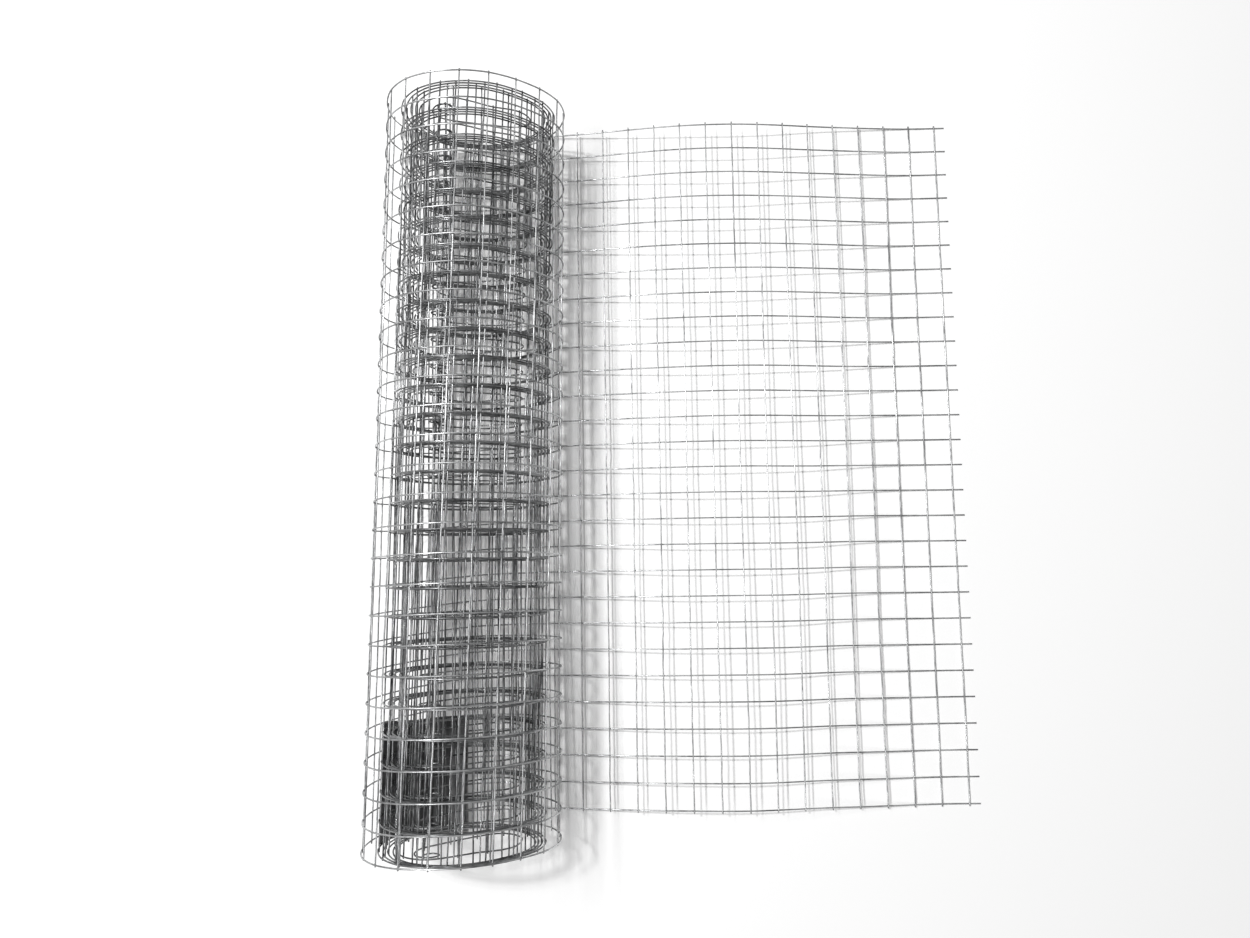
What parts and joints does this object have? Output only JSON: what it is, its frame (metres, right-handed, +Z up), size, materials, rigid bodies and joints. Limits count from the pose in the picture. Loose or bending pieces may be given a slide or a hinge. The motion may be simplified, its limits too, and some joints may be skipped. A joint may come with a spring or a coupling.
{
  "type": "roll of welded wire fencing",
  "caption": "Roll of galvanised welded square-mesh fencing lying on its side, with its free end unrolled flat and a blank dark card tucked under the slack outer turn.",
  "frame": {"origin": "middle of the whole object's footprint, at the ground", "axes": "+Y along the roll's axis, +X the way the free end is unrolled, +Z up"},
  "size_m": [0.425, 0.5174, 0.1262],
  "materials": {
    "galvanised_wire": "galvanised, dull grey with bright glints",
    "card": "matt black, blank"
  },
  "bodies": {
    "root": {"wound_roll": "galvanised_wire", "tail_by_roll": "galvanised_wire", "tail_free_end": "galvanised_wire", "label_card": "card"}
  },
  "joints": []
}
